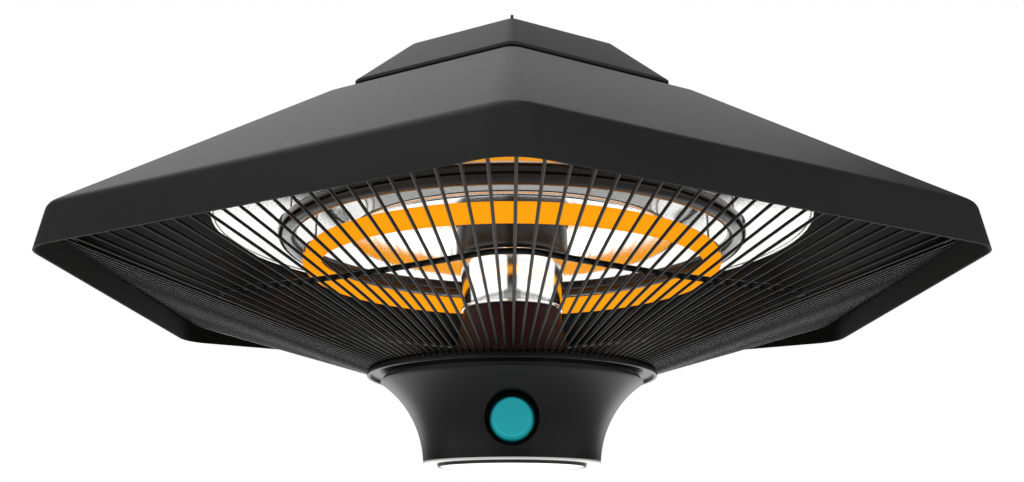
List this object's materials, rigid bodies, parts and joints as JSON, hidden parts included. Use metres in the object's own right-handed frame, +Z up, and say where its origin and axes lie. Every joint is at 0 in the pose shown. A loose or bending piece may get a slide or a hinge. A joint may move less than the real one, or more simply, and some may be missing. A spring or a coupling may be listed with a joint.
{
  "type": "ceiling heater",
  "caption": "Six-sided hanging infrared ceiling heater with a black canopy, wire guard over ring tubes and a round lower housing with a push button and lens.",
  "frame": {"origin": "centre of the eye of the hanging lug, on the heater's middle axis", "axes": "+Z up along the middle axis; one corner of the canopy and the button face the front, -Y; the eye runs along X"},
  "size_m": [0.4718, 0.5368, 0.2865],
  "materials": {
    "body_paint": "matt black powder coat",
    "gasket_rubber": "matt",
    "zinc_steel": "bright zinc plated",
    "lug_steel": "matt black powder coat",
    "gland_nylon": "moulded",
    "terminal_nylon": "moulded",
    "cable_sheath": "braided sleeve",
    "polished_reflector": "polished aluminium sheet",
    "lit_glass": "clear quartz, lit",
    "lit_filament": "glowing carbon strip",
    "unlit_glass": "dark quartz",
    "dark_filament": "carbon strip, cold",
    "white_ceramic": "fired ceramic",
    "spring_steel": "bright",
    "black_ceramic": "glazed ceramic",
    "neck_paint": "satin heat resistant paint",
    "guard_steel": "black enamelled wire",
    "button_plastic": "moulded, satin",
    "well_plastic": "moulded",
    "plunger_plastic": "moulded",
    "board_green": "glass fibre laminate",
    "capacitor_sleeve": "shrink sleeve",
    "trim_white": "moulded",
    "lens_white": "opal diffuser",
    "board_aluminium": "milled",
    "led_body": "moulded"
  },
  "bodies": {
    "heater": {"bezel_ring": "body_paint", "board_screws": "zinc_steel", "board_standoffs": "zinc_steel", "button_spring": "spring_steel", "button_well": "well_plastic", "cable_gland": "gland_nylon", "cap_cover": "body_paint", "cap_gasket": "gasket_rubber", "cap_spacers": "body_paint", "cap_tray": "body_paint", "capacitor": "capacitor_sleeve", "centre_tube": "zinc_steel", "ceramic_terminal": "white_ceramic", "clamp_nuts": "zinc_steel", "clamp_sleeves": "zinc_steel", "clamp_washers": "zinc_steel", "column_collar": "black_ceramic", "column_flange": "polished_reflector", "column_sleeve": "polished_reflector", "control_board": "board_green", "control_cable": "cable_sheath", "diffuser_lens": "lens_white", "end_brackets": "zinc_steel", "end_caps": "white_ceramic", "gland_nut": "gland_nylon", "guard_clips": "zinc_steel", "guard_rim": "guard_steel", "hanging_lug": "lug_steel", "harness_grommets": "gasket_rubber", "heat_shield": "zinc_steel", "housing_screws": "zinc_steel", "housing_shell": "body_paint", "hub_plate": "body_paint", "lead_bushings": "white_ceramic", "lead_wires": "cable_sheath", "led_board": "board_aluminium", "led_chips": "led_body", "lens_ring": "gland_nylon", "lit_filament": "lit_filament", "lit_tube": "lit_glass", "neck_shroud": "neck_paint", "reflector_dish": "polished_reflector", "reflector_dome": "polished_reflector", "relays": "well_plastic", "supply_harness": "cable_sheath", "switch_body": "well_plastic", "terminal_block": "terminal_nylon", "terminal_screws": "zinc_steel", "thermal_cutout": "zinc_steel", "top_cover": "body_paint", "transformer": "zinc_steel", "tray_nuts": "zinc_steel", "tray_screws": "zinc_steel", "trim_ring": "trim_white", "tube_clips": "spring_steel", "unlit_filament": "dark_filament", "unlit_tube": "unlit_glass", "wire_guard": "guard_steel"},
    "button": {"button_cap": "button_plastic", "switch_plunger": "plunger_plastic"}
  },
  "joints": [
    {"name": "button_press", "type": "slide", "parent": "heater", "child": "button", "axis": [0, 1, 0], "range_m": [0, 0.003], "stiffness_N_per_m": 400, "springref_m": -0.001, "deforming": ["button_spring"]}
  ]
}
